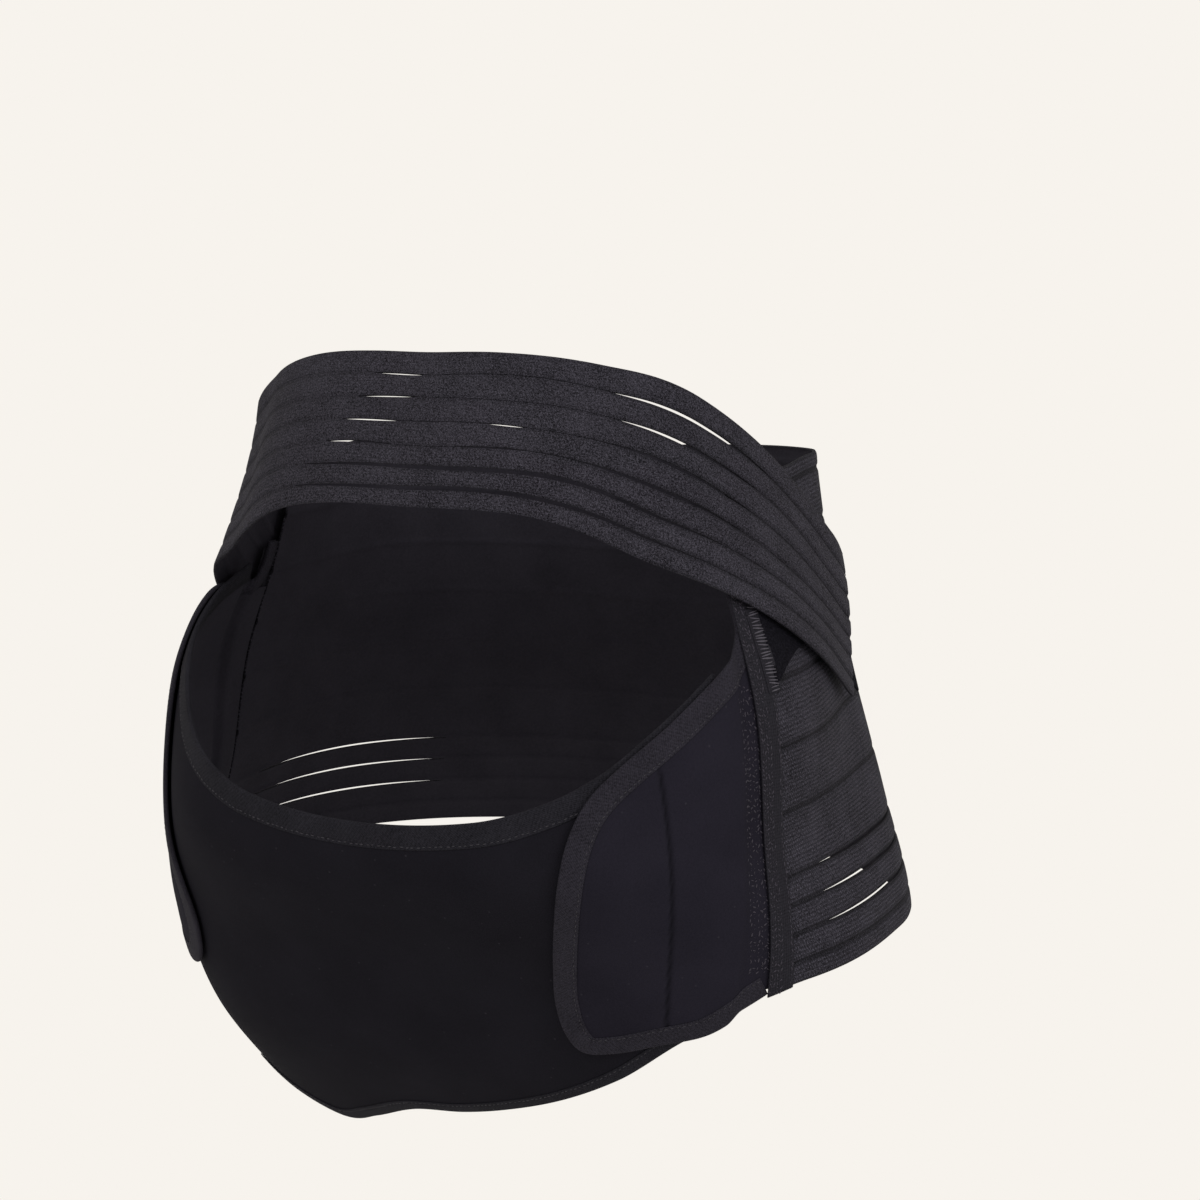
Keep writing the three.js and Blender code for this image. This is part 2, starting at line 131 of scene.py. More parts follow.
def outward(angle, height):
    """The direction square to the form."""
    across = on_form(angle + PROBE, height) - on_form(angle - PROBE, height)
    up = on_form(angle, height + PROBE * MM) - on_form(angle, height - PROBE * MM)
    square = np.cross(across, up)
    return square / np.linalg.norm(square, axis=-1, keepdims=True)


def lifted(angle, height, lift):
    """A point lifted off the form, square to it."""
    lift = np.asarray(lift, float) + 0 * (angle + height)
    return on_form(angle, height) + outward(angle, height) * lift[..., None]


def sideways(angle, height):
    """The change in angle and height for one metre to the left of the way a path runs."""
    probe = PROBE * MM
    level = on_form(angle + PROBE, height) - on_form(angle - PROBE, height)
    around = np.linalg.norm(level, axis=-1) / (2 * PROBE)
    upright = on_form(angle, height + probe) - on_form(angle, height - probe)
    rise = np.linalg.norm(upright, axis=-1) / (2 * probe)
    along = np.gradient(angle) * around
    up = np.gradient(height) * rise
    length = np.hypot(along, up)
    return -(up / length) / around, (along / length) / rise


def shifted(path, width):
    """A path moved sideways over the form."""
    angle, height = path
    turn, climb = sideways(angle, height)
    return angle + turn * width, height + climb * width


def between(first, second, shares):
    """Angles and heights of a grid whose columns join one path to another."""
    return tuple(low[:, None] + (high - low)[:, None] * shares for low, high in zip(first, second))


def lengths(points):
    """How far along its line each point of a row of points is."""
    return np.concatenate([[0], np.cumsum(np.linalg.norm(np.diff(points, axis=0), axis=1))])


def weave_of(points):
    """Cloth coordinates in metres: along the columns, and up across them."""
    columns, rows = points.shape[:2]
    along = lengths(points[:, rows // 2])
    across = lengths(points[columns // 2])
    return np.stack(np.meshgrid(along, across, indexing="ij"), axis=-1)


def shown(name, bm):
    """Makes a finished bmesh a smooth-shaded piece of the scene."""
    for face in bm.faces:
        face.smooth = True
    mesh = bpy.data.meshes.new(name)
    bm.to_mesh(mesh)
    bm.free()
    piece = bpy.data.objects.new(name, mesh)
    bpy.context.scene.collection.objects.link(piece)
    return piece


def laid(name, points, weave=None, closed=False, is_open=None, shade=None):
    """A mesh grid laid over the points, its last row joined to the first if it is closed.
    The shade, where given, is how deep in a groove each point lies, from 0 to 1; the knit and elastic finishes
    darken their colour by it as painted shade."""
    columns, rows = (n - 1 for n in points.shape[:2])
    weave = weave_of(points) if weave is None else weave
    bm = bmesh.new()
    bmesh.ops.create_grid(
        bm, x_segments=columns, y_segments=rows, size=0.5, matrix=Matrix.Translation((0.5, 0.5, 0))
    )
    if is_open is not None:
        middles = [(face, face.calc_center_median()) for face in bm.faces]
        cut = [face for face, at in middles if is_open[int(at.x * columns), int(at.y * rows)]]
        bmesh.ops.delete(bm, geom=cut, context="FACES")
    layer = bm.loops.layers.uv.new("weave")
    for face in bm.faces:
        for loop in face.loops:
            at = loop.vert.co
            loop[layer].uv = weave[round(at.x * columns), round(at.y * rows)]
    groove = bm.verts.layers.float.new("groove")
    for vert in bm.verts:
        at = round(vert.co.x * columns), round(vert.co.y * rows)
        vert[groove] = 0 if shade is None else shade[at]
        vert.co = points[at]
    if closed:
        bmesh.ops.remove_doubles(bm, verts=bm.verts, dist=0.01 * MM)
        bmesh.ops.holes_fill(bm, edges=[edge for edge in bm.edges if edge.is_boundary], sides=0)
        bmesh.ops.recalc_face_normals(bm, faces=bm.faces)
    else:
        bm.normal_update()
        facing = sum(face.normal.xy.dot(face.calc_center_median().xy) for face in bm.faces)
        if facing < 0:
            bmesh.ops.reverse_faces(bm, faces=bm.faces)
    return shown(name, bm)


def thicken(piece, thick, edge=0.3 * MM):
    """Gives a laid cloth its wall, inwards, with worn-round edges."""
    wall = piece.modifiers.new("wall", "SOLIDIFY")
    wall.thickness = thick
    wall.offset = -1
    wall.use_even_offset = True
    wall.material_offset = 1
    wall.material_offset_rim = 0
    rounding = piece.modifiers.new("rounded edge", "BEVEL")
    rounding.width = edge
    rounding.segments = 2
    rounding.limit_method = "ANGLE"
    rounding.angle_limit = math.radians(55)


class Value:
    """A number that varies over a surface, worked on with plain arithmetic."""

    def __init__(self, finish, socket):
        self.finish = finish
        self.socket = socket

    def math(self, operation, *values):
        return self.finish.node("ShaderNodeMath", {"operation": operation}, dict(enumerate(values)))

    def __add__(self, other):
        return self.math("ADD", self, other)

    def __radd__(self, other):
        return self.math("ADD", other, self)

    def __sub__(self, other):
        return self.math("SUBTRACT", self, other)

    def __rsub__(self, other):
        return self.math("SUBTRACT", other, self)

    def __mul__(self, other):
        return self.math("MULTIPLY", self, other)

    def __rmul__(self, other):
        return self.math("MULTIPLY", other, self)

    def __truediv__(self, other):
        return self.math("DIVIDE", self, other)

    def sine(self):
        return self.math("SINE", self)

    def clamped(self):
        return self.math("MINIMUM", self.math("MAXIMUM", self, 0.0), 1.0)


class Finish:
    """One material. All its nodes are made by node()."""

    def __init__(self, name):
        self.material = bpy.data.materials.new(name)
        self.material.use_nodes = True
        self.tree = self.material.node_tree
        self.tree.nodes.clear()
        weave = self.node("ShaderNodeUVMap", {"uv_map": "weave"})
        self.along = self.node("ShaderNodeSeparateXYZ", inputs={0: weave}, output=0) / MM
        self.across = self.node("ShaderNodeSeparateXYZ", inputs={0: weave}, output=1) / MM
        self.place = self.node("ShaderNodeTexCoord", output=3)
        self.groove = self.node("ShaderNodeAttribute", {"attribute_name": "groove"}, output=2)

    def node(self, kind, settings=None, inputs=None, output=0):
        made = self.tree.nodes.new(kind)
        for key, value in (settings or {}).items():
            setattr(made, key, value)
        for key, value in (inputs or {}).items():
            if isinstance(value, Value):
                self.tree.links.new(value.socket, made.inputs[key])
            else:
                made.inputs[key].default_value = value
        return Value(self, made.outputs[output])

    def noise(self, where, grain, detail=2.0, roughness=0.5):
        """Cloudy noise whose lumps are about grain millimetres across."""
        settings = {"Vector": where, "Scale": 1 / (grain * MM), "Detail": detail, "Roughness": roughness}
        return self.node("ShaderNodeTexNoise", {}, settings)

    def cells(self, where, grain):
        """Distance to the nearest of many points that are about grain millimetres apart."""
        return self.node("ShaderNodeTexVoronoi", {}, {"Vector": where, "Scale": 1 / (grain * MM)})

    def blend(self, share, first, second):
        inputs = {0: share, 6: first, 7: second}
        return self.node("ShaderNodeMix", {"data_type": "RGBA", "clamp_factor": True}, inputs, output=2)

    def done(self, colour, roughness, height, relief, **fixed):
        bump = self.node("ShaderNodeBump", {}, {"Height": height, "Distance": relief, "Strength": 1.0})
        sockets = {"Base Color": colour, "Roughness": roughness, "Normal": bump}
        sockets.update({name.replace("_", " "): value for name, value in fixed.items()})
        shader = self.node("ShaderNodeBsdfPrincipled", {}, sockets)
        self.node_output(shader)
        return self.material

    def node_output(self, shader):
        made = self.tree.nodes.new("ShaderNodeOutputMaterial")
        self.tree.links.new(shader.socket, made.inputs["Surface"])


def tone(red, green, blue):
    """A colour given as it looks on a screen, 0 to 255."""
    shares = [level / 255 for level in (red, green, blue)]
    return [s / 12.92 if s <= 0.04045 else ((s + 0.055) / 1.055) ** 2.4 for s in shares] + [1.0]


def smooth_knit(name, dark, light):
    """Fine knit face of the foam-backed cloth, nearly black, with a little lint, and painted shade where it
    sinks into a groove such as the dart.
    """
    finish = Finish(name)
    wales = (finish.along * (2 * math.pi / 0.9)).sine()
    courses = (finish.across * (2 * math.pi / 0.7)).sine()
    knit = wales * courses * 0.5 + 0.5
    cloud = finish.noise(finish.place, 38, 3.0)
    fuzz = finish.noise(finish.place, 0.9, 2.0, 0.7)
    lint = (1 - finish.cells(finish.place, 9) * 13).clamped()
    shade = (cloud * 0.5 + fuzz * 0.5 + knit * 0.12 - 0.1).clamped()
    colour = finish.blend(shade, dark, light)
    colour = finish.blend(lint * 0.3, colour, tone(66, 64, 70))
    # Painted shade: the colour darkens towards near black by how deep the cloth lies in a groove, which draws
    # the dark line of the dart.
    colour = finish.blend((finish.groove * 0.7).clamped(), colour, tone(5, 5, 7))
    return finish.done(colour, 0.86 + 0.1 * fuzz, knit * 0.35 + fuzz, 0.10 * MM, Specular_IOR_Level=0.03)


def brushed_back():
    """Brushed inner face of the cloths."""
    finish = Finish("brushed back")
    nap = finish.noise(finish.place, 1.4, 3.0, 0.65)
    cloud = finish.noise(finish.place, 25, 2.0)
    colour = finish.blend(nap * 0.6 + cloud * 0.4, tone(22, 21, 26), tone(47, 45, 52))
    return finish.done(colour, 0.86 + 0.1 * nap, nap, 0.25 * MM, Specular_IOR_Level=0.05)


def dress(piece, outer, inner=None):
    piece.data.materials.append(outer)
    if inner is not None:
        piece.data.materials.append(inner)
    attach(piece, "root")


panel_knit = smooth_knit("smooth knit", tone(12, 11, 15), tone(29, 28, 34))
inner_nap = brushed_back()
panel_angles = np.linspace(-RIGHT["panel_end"], LEFT["panel_end"], 181)
panel_top = (panel_angles, through(PANEL_TOP_ROWS, panel_angles) * FORM_HEIGHT)
panel_hem = (panel_angles, through(PANEL_HEM_ROWS, panel_angles) * FORM_HEIGHT)
panel_outer = SKIN_GAP + PANEL_THICK - PANEL_SINK
panel_grid = between(shifted(panel_hem, TUCK), shifted(panel_top, -TUCK), np.linspace(0, 1, 71))
front_panel = laid("front_panel_cloth", lifted(*panel_grid, panel_outer))
thicken(front_panel, PANEL_WALL)
dress(front_panel, panel_knit, inner_nap)
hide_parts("front_panel")

# Bindings of the front panel: a folded elastic tape, sewn over the dipping upper edge, and
# the narrower turned hem below. Each is one cloth folded round the panel's edge, with a row
# of stitches that pulls a fine groove near its inner edge.
FOLD_THICK = 0.6 * MM
STITCH_INSET = 1.5 * MM
STITCH_PROBE = 0.2 * MM
# Degrees by which a wholly uneven stitch may be turned.
STRAY_TURN = 60


def binding_weave(name, dark, light):
    """Close diagonal weave of the folded binding tape."""
    finish = Finish(name)
    twill = ((finish.along + finish.across * 1.1) * (2 * math.pi / 1.25)).sine()
    picks = ((finish.along - finish.across * 0.7) * (2 * math.pi / 1.9)).sine()
    fuzz = finish.noise(finish.place, 0.8, 2.0, 0.7)
    cloud = finish.noise(finish.place, 16, 2.0)
    weave = twill * 0.3 + picks * 0.2 + 0.5
    shade = (weave * 0.3 + (fuzz - 0.5) * 1.4 + cloud * 0.4 + 0.15).clamped()
    colour = finish.blend(shade, dark, light)
    return finish.done(colour, 0.78 + 0.15 * fuzz, weave + fuzz, 0.18 * MM, Specular_IOR_Level=0.06)


def folded(width, seat, thick):
    """Section of a tape folded round an edge: how far in from the edge, and how high off the seat."""
    top = seat + thick
    bend = thick / 2
    turns = np.radians(np.linspace(90, 270, 9))
    sewn = width - STITCH_INSET
    over = [(width, top - 0.35 * MM), (width - 0.4 * MM, top - 0.05 * MM), (sewn + 0.5 * MM, top)]
    over += [(sewn, top - 0.22 * MM), (sewn - 0.6 * MM, top)]
    over += [(width * share, top + 0.05 * MM) for share in (0.65, 0.45, 0.28)]
    outside = [(bend + bend * math.cos(turn), seat + bend + bend * math.sin(turn)) for turn in turns]
    inside = [
        (bend + (bend - FOLD_THICK) * math.cos(turn), seat + bend + (bend - FOLD_THICK) * math.sin(turn))
        for turn in turns[::-1]
    ]
    under = [(width * 0.5, seat), (width - 1 * MM, seat + 0.02 * MM), (width - 1 * MM, seat + FOLD_THICK)]
    back = [(width, top - FOLD_THICK)]
    return np.array(over + outside + under + inside + back + over[:1])


def strip(name, path, section, side=1, base=None, widths=1):
    """A narrow cloth that follows a path, with a closed section given inwards from the path.
    The widths are shares of the section's own, one for each point of the path."""
    angle, height = path
    turn, climb = sideways(angle, height)
    inwards = section[None, :, 0] * side * (widths + 0 * angle)[:, None]
    angles = angle[:, None] + turn[:, None] * inwards
    heights = height[:, None] + climb[:, None] * inwards
    rise = section[None, :, 1] + (0 if base is None else base(angles))
    points = lifted(angles, heights, rise)
    around = np.concatenate([[0], np.cumsum(np.hypot(*np.diff(section, axis=0).T))])
    middle = lifted(angle, height, 0)
    weave = np.stack(np.meshgrid(lengths(middle), around, indexing="ij"), axis=-1)
    return laid(name, points, weave, closed=True)


def on_line(marks, along, line):
    """The points that lie some way along a line of points."""
    return np.stack([np.interp(marks, along, line[:, k]) for k in range(3)], axis=-1)


def stitches(name, rows, pitch, long, wide, high, uneven=0.15):
    """Rows of sewn stitches as small rounded beads of thread, each lying along its row. The
    last share is how much they stray and differ in size."""
    chance = np.random.default_rng(5)
    bm = bmesh.new()
    for angle, height, lift, slant in rows:
        line = lifted(angle, height, lift)
        along = lengths(line)
        marks = np.arange(pitch / 2, along[-1], pitch)
        marks = marks + pitch * uneven * chance.uniform(-1, 1, len(marks))
        at_angle = np.interp(marks, along, angle)
        at_height = np.interp(marks, along, height)
        at_point = on_line(marks, along, line)
        ahead = on_line(marks + STITCH_PROBE, along, line) - at_point
        normals = outward(at_angle, at_height)
        for point, way, normal in zip(at_point, ahead, normals):
            up = Vector(normal)
            forward = Vector(way).normalized()
            turn = math.radians(slant + STRAY_TURN * uneven * chance.uniform(-1, 1))
            turned = Matrix.Rotation(turn, 3, up) @ forward
            beside = up.cross(turned)
            size = 1 + uneven * chance.uniform(-1.5, 1)
            place = Matrix((turned * long, beside * wide, up * high)).transposed().to_4x4()
            place = place @ Matrix.Scale(size / 2, 4)
            place.translation = Vector(point) + beside * (pitch * uneven * chance.uniform(-0.5, 0.5))
            bmesh.ops.create_uvsphere(bm, u_segments=6, v_segments=4, radius=1, matrix=place)
    bmesh.ops.recalc_face_normals(bm, faces=bm.faces)
    bm.loops.layers.uv.new("weave")
    return shown(name, bm)


def thread(name, dark, light):
    """Slightly shiny black sewing thread."""
    finish = Finish(name)
    fuzz = finish.noise(finish.place, 0.5, 1.0)
    colour = finish.blend(fuzz, dark, light)
    return finish.done(colour, 0.55 + 0.2 * fuzz, fuzz, 0.05 * MM, Specular_IOR_Level=0.2)


tape_weave = binding_weave("binding weave", tone(6, 6, 9), tone(38, 37, 43))
sewn_thread = thread("sewing thread", tone(24, 23, 27), tone(58, 56, 62))
panel_edge_thick = PANEL_THICK + BINDING_PROUD - SEWN_FLAT
binding_top_lift = SKIN_GAP + panel_edge_thick
binding_section = folded(BINDING_WIDTH, SKIN_GAP, panel_edge_thick)
hem_section = folded(HEM_WIDTH, SKIN_GAP, panel_edge_thick)
top_binding = strip("front_top_binding_tape", panel_top, binding_section, side=-1)
hem_binding = strip("front_hem_binding_tape", panel_hem, hem_section)
panel_stitches = stitches(
    "front_panel_stitches",
    [
        (*shifted(panel_top, STITCH_INSET - BINDING_WIDTH), binding_top_lift - 0.1 * MM, 0),
        (*shifted(panel_hem, HEM_WIDTH - STITCH_INSET), binding_top_lift - 0.1 * MM, 0),
    ],
    pitch=2.9 * MM, long=1.9 * MM, wide=0.55 * MM, high=0.45 * MM,
)
dress(top_binding, tape_weave)
dress(hem_binding, tape_weave)
dress(panel_stitches, sewn_thread)
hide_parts("front_top_binding")
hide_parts("front_hem_binding")

# Side wings: D-shaped flaps of the same foam-backed knit, sewn to the back panel at the side
# seam and closed over the ends of the front panel with hidden hook and loop. A dart runs
# down each, and a wider folded binding goes round the free edge, from the peak to the hem.
WING_THICK = 2.2 * MM
WING_WALL = 1.2 * MM
WING_SINK = 0.35 * MM
WING_COLUMNS = 260
PEAK_COLUMNS = 26
WING_COURSES = 80
# Degrees between a wing and its seam.
WING_SPACE = 0.35
LAYER_GAP = 0.5 * MM
WING_RISE = 4
WING_FALL = 2.4
PEAK_NARROWING = 0.3
PEAK_TUCK = 4 * MM
WING_SEAT = SKIN_GAP + PANEL_THICK + BINDING_PROUD + LAYER_GAP
# Degrees forward of the wing's seam, and share of the form's height.
LEFT_WING_ROWS = (
    (3.6, 0.19), (3.3, 0.155), (3, 0.124), (4.4, 0.1), (7, 0.081), (11.5, 0.054), (16.5, 0.022),
    (22.5, -0.017), (26.5, -0.05), (28.9, -0.09), (30.1, -0.14), (30.5, -0.2), (30.5, -0.25), (30.1, -0.3),
    (28.5, -0.342), (25.5, -0.366), (20.5, -0.364), (14.5, -0.351), (8.5, -0.339), (4, -0.315), (0.5, -0.298),
)
RIGHT_WING_ROWS = (
    (3.6, 0.17), (3.5, 0.14), (4.8, 0.118), (8, 0.116), (13, 0.12), (18.5, 0.11), (24.5, 0.072),
    (28.5, 0.01), (30.3, -0.05), (31.2, -0.12), (31.4, -0.18), (31, -0.23), (29.5, -0.28), (26.5, -0.325),
    (22.5, -0.35), (17.5, -0.356), (12, -0.345), (7.5, -0.328), (4, -0.312), (0.5, -0.298),
)
# The dart, as share of the form's height and degrees forward of the seam.
DART_ROWS = ((-0.35, 13.9), (-0.3275, 14.2), (-0.19, 15.8), (-0.1075, 16.6), (-0.0275, 17.5), (0, 17.9))
DART_DEPTH = 0.7 * MM
DART_HALF = 1.05 * MM
# Length of one degree round the form near the seam.
SEAM_DEGREE = 3.2 * MM
# How the tape over the seam leans: share of the form's height, and degrees behind the seam.
TAPE_LEAN_ROWS = ((-0.3, 1.2), (-0.09, -0.4), (0.06, -1), (0.16, -1.2))
# Rows of cover stitch beside the seam: degrees forward of it, and slant.
COVER_ROWS = ((1.9, 30), (2.4, -50), (2.9, 40), (3.5, -40), (4.1, 60), (4.7, -30))
COVER_FROM = -0.27
COVER_TO = 0.06


def on_side(angle, wanted):
    """A value of the side on which an angle lies."""
    return np.where(angle > 0, LEFT[wanted], RIGHT[wanted])


def ramp(x, start, end):
    """A soft step from 0 to 1."""
    t = np.clip((x - start) / (end - start), 0, 1)
    return t * t * (3 - 2 * t)


def wing_inner(angle):
    """A wing lies on the front panel and comes down to the form before its seam."""
    start = on_side(angle, "panel_end") + WING_FALL
    end = on_side(angle, "seam") - WING_RISE
    return WING_SEAT - (WING_SEAT - SKIN_GAP) * ramp(np.abs(angle), start, end)


def from_seam(side, rows, count):
    """A path through rows that are given from a seam, which may turn back on itself."""
    at = np.linspace(0, len(rows) - 1, count)
    counted = [(k, *row) for k, row in enumerate(rows)]
    return side["sign"] * (side["seam"] - through(counted, at, 1)), through(counted, at, 2) * FORM_HEIGHT


def dart_relief(side, angles, heights):
    """The sunk line of the dart, with a soft lip on its front side."""
    share = heights / FORM_HEIGHT
    away = (side["seam"] - np.abs(angles) - through(DART_ROWS, share)) * SEAM_DEGREE
    sunk = np.exp(-((away / DART_HALF) ** 2)) - 0.55 * np.exp(-(((away - 2.2 * MM) / (1.6 * MM)) ** 2))
    there = ramp(share, -0.36, -0.345) * (1 - ramp(share, -0.03, -0.01))
    return -DART_DEPTH * sunk * there


def add_wing(side, edge_rows):
    name = side["name"]
    inward = side["sign"]
    edge = from_seam(side, edge_rows, WING_COLUMNS + 1)
    in_peak = ramp(edge[1] / FORM_HEIGHT, 0.07, 0.12)
    body = shifted(edge, inward * (TUCK + PEAK_TUCK * in_peak))
    top = (WING_COLUMNS + PEAK_COLUMNS - WING_COURSES) // 2
    foot = top + WING_COURSES
    upper = tuple(part[PEAK_COLUMNS:top] for part in body)
    lower = tuple(part[:foot:-1] for part in body)
    front = tuple(part[top:foot + 1][::-1] for part in body)
    columns = between(lower, upper, np.linspace(0, 1, WING_COURSES + 1))
    low, high = columns[1][0, 0], columns[1][0, -1]
    seam_angles = np.full(WING_COURSES + 1, inward * (side["seam"] - WING_SPACE))
    at_seam = (seam_angles, np.linspace(low, high, WING_COURSES + 1))
    angles, heights = (np.vstack([first, part, last]) for first, part, last in zip(at_seam, columns, front))
    face = wing_inner(angles) + WING_THICK - WING_SINK
    relief = dart_relief(side, angles, heights)
    weave = np.stack([np.radians(angles) * HIP_HALF, heights], axis=-1)
    # How deep the dart sinks; the wing's knit darkens its colour by this as painted shade.
    sunk = np.clip(-relief / DART_DEPTH, 0, 1)
    wing = laid(f"wing_cloth_{name}", lifted(angles, heights, face + relief), weave, shade=sunk)
    thicken(wing, WING_WALL)
    dress(wing, wing_knit, inner_nap)
    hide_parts(f"wing_{name}")
    edge_thick = WING_THICK + BINDING_PROUD - SEWN_FLAT
    widths = 1 - PEAK_NARROWING * in_peak
    section = folded(BINDING_WIDTH, 0, edge_thick)
    binding = strip(f"wing_binding_tape_{name}", edge, section, inward, wing_inner, widths)
    dress(binding, wing_weave)
    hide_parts(f"wing_binding_{name}")
    sewing = shifted(edge, inward * widths * (BINDING_WIDTH - STITCH_INSET))
    sewn = stitches(
        f"wing_stitches_{name}", [(*sewing, wing_inner(sewing[0]) + edge_thick - 0.1 * MM, 0)],
        pitch=2.9 * MM, long=1.9 * MM, wide=0.5 * MM, high=0.45 * MM,
    )
    dress(sewn, sewn_thread)
    cover_heights = np.linspace(COVER_FROM, COVER_TO, 90) * FORM_HEIGHT
    cover_rows = []
    lean = through(TAPE_LEAN_ROWS, cover_heights / FORM_HEIGHT)
    for forward, slant in COVER_ROWS:
        angle = side["sign"] * (side["seam"] + lean - forward)
        cover_rows.append((angle, cover_heights, wing_inner(angle) + WING_THICK - 0.3 * MM, slant))
    cover = stitches(
        f"wing_cover_stitches_{name}", cover_rows,
        pitch=2.3 * MM, long=1.7 * MM, wide=0.6 * MM, high=0.5 * MM, uneven=0.5,
    )
    dress(cover, cover_thread)


wing_knit = smooth_knit("smooth wing knit", tone(17, 16, 22), tone(36, 34, 43))
cover_thread = thread("cover thread", tone(20, 18, 24), tone(62, 58, 68))
wing_weave = binding_weave("wing binding weave", tone(9, 8, 12), tone(47, 45, 53))
add_wing(LEFT, LEFT_WING_ROWS)
add_wing(RIGHT, RIGHT_WING_ROWS)

# Back panel: one wide ribbed elastic from side seam to side seam. Its ribs part along fine
# grooves, and three of the lowest are cut through into slits at each side. The elastic is
# knitted in close rows of small loops, which show as lines of light dots.
BACK_THICK = 2.4 * MM
BACK_WALL = 1.4 * MM
GROOVE_DEPTH = 0.65 * MM
GROOVE_HALF = 0.55 * MM
# How much a rib is domed, as a share of its relief, and how softly its edges roll over.
RIB_CROWN = 0.12
RIB_ROLL = 0.9 * MM
SLIT_SHARE = 1.3 * MM
SLIT_END = 0.1 * MM
BACK_SLIT_HALF = 0.75 * MM
SEAM_SPACE = 0.3
RIB_SHARES = np.array([0, 0.03, 0.08, 0.16, 0.3, 0.5, 0.7, 0.84, 0.92, 0.97, 1])
BACK_TOP_ROWS = ((0, 0.285), (20, 0.293), (35, 0.303), (60, 0.3), (110, 0.289))
BACK_HEM_ROWS = ((0, -0.296), (6, -0.289), (26, -0.281), (60, -0.273), (110, -0.27))
# Lines between the ribs as shares of the panel's height, and whether they are cut through.
BACK_LINES = (
    (0.045, False), (0.097, True), (0.156, True), (0.213, True), (0.351, False), (0.484, False),
    (0.61, False), (0.73, False), (0.86, False), (0.965, False),
)
BACK_SLIT = (9, 52)


def spindle(at, start, end):
    """How far a slit has opened at a place along it, from 0 at its ends to 1 at its middle."""
    share = np.clip((at - start) / (end - start), 0, 1)
    return np.sin(math.pi * share) ** 0.75


def ribbed_rows(low, high, lines):
    """Places across a ribbed cloth, their relief, and the rows that may be cut open. Each line
    gives its middle and half of its opening. The ribs between roll over at their edges."""
    places, reliefs, open_rows = [], [], []
    foot = low
    for middle, opening in [*lines, (None, None)]:
        groove = 0 if middle is None else np.maximum(GROOVE_HALF, opening + 0.35 * MM)
        head = high if middle is None else middle - groove
        for share in RIB_SHARES:
            place = foot + (head - foot) * share
            away = np.minimum(place - foot, head - place)
            crown = RIB_CROWN * (1 - (2 * share - 1) ** 2)
            places.append(place)
            reliefs.append((1 - RIB_CROWN) * (1 - np.exp(-((away / RIB_ROLL) ** 2))) + crown)
        if middle is not None:
            open_rows.append(len(places))
            places += [middle - opening, middle + opening]
            reliefs += [0 * low, 0 * low]
            foot = middle + groove
    return np.stack(places, axis=1), np.stack(reliefs, axis=1), open_rows


def ribbed_elastic(name, row_pitch, row_share, dark, light, painted_groove_shade):
    """Knitted elastic: close rows of loops that catch the light as specks, with painted shade darkening the
    grooves.
    """
    finish = Finish(name)
    drift = finish.noise(finish.place, 14, 2.0) * 1.2
    rows = ((finish.across + drift) * (2 * math.pi / row_pitch)).sine() * 0.5 + 0.5
    stagger = finish.noise(finish.place, 4.0, 1.0) * 2.5
    loops = ((finish.along + finish.across * 0.6 + stagger) * (2 * math.pi / 1.5)).sine() * 0.5 + 0.5
    fuzz = finish.noise(finish.place, 0.42, 1.0, 0.6)
    grain = finish.noise(finish.place, 0.9, 2.0, 0.7)
    cloud = finish.noise(finish.place, 20, 2.0)
    speck = ((fuzz - 0.5) * 2.8 + (grain - 0.5) * 1.8 + 0.42).clamped()
    bead = rows * loops
    shade = speck * (1 - row_share) + bead * speck * row_share * 2.2 + (cloud - 0.5) * 0.35
    colour = finish.blend(shade.clamped(), dark, light)
    # Painted shade: the colour darkens towards near black by how deep the elastic lies in a groove between its
    # ribs.
    colour = finish.blend((finish.groove * painted_groove_shade).clamped(), colour, tone(9, 9, 11))
    return finish.done(
        colour, 0.80 + 0.12 * fuzz, rows * row_share + bead + speck * 0.8, 0.22 * MM, Specular_IOR_Level=0.07
    )


back_elastic = ribbed_elastic("back elastic", 2.0, 0.5, tone(12, 11, 15), tone(72, 70, 80), 0.6)
back_start = LEFT["seam"] + SEAM_SPACE
back_end = 360 - RIGHT["seam"] - SEAM_SPACE
back_angles = np.linspace(back_start, back_end, 261)
behind = np.minimum(back_angles - back_start, back_end - back_angles)
back_low = through(BACK_HEM_ROWS, behind) * FORM_HEIGHT
back_high = through(BACK_TOP_ROWS, behind) * FORM_HEIGHT
back_lines = []
for share, is_cut in BACK_LINES:
    centre = back_low + (back_high - back_low) * share + (SLIT_SHARE if is_cut else 0)
    opened = spindle(behind, *BACK_SLIT) * is_cut
    back_lines.append((centre, SLIT_END + (BACK_SLIT_HALF - SLIT_END) * opened))
back_heights, back_relief, back_rows = ribbed_rows(back_low, back_high, back_lines)
back_grid = back_angles[:, None] + 0 * back_heights
back_lift = SKIN_GAP + BACK_THICK - GROOVE_DEPTH * (1 - back_relief)
back_open = np.zeros((len(back_angles) - 1, back_heights.shape[1] - 1), bool)
back_is_cut = (behind[:-1] > BACK_SLIT[0]) & (behind[1:] > BACK_SLIT[0])
back_is_cut &= (behind[:-1] < BACK_SLIT[1]) & (behind[1:] < BACK_SLIT[1])
for (_, is_cut), row in zip(BACK_LINES, back_rows):
    back_open[:, row] = back_is_cut & is_cut
back_panel = laid(
    "back_panel_elastic", lifted(back_grid, back_heights, back_lift), is_open=back_open,
    shade=np.clip(1 - back_relief, 0, 1),
)
thicken(back_panel, BACK_WALL, edge=0.2 * MM)
dress(back_panel, back_elastic, inner_nap)
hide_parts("back_panel")

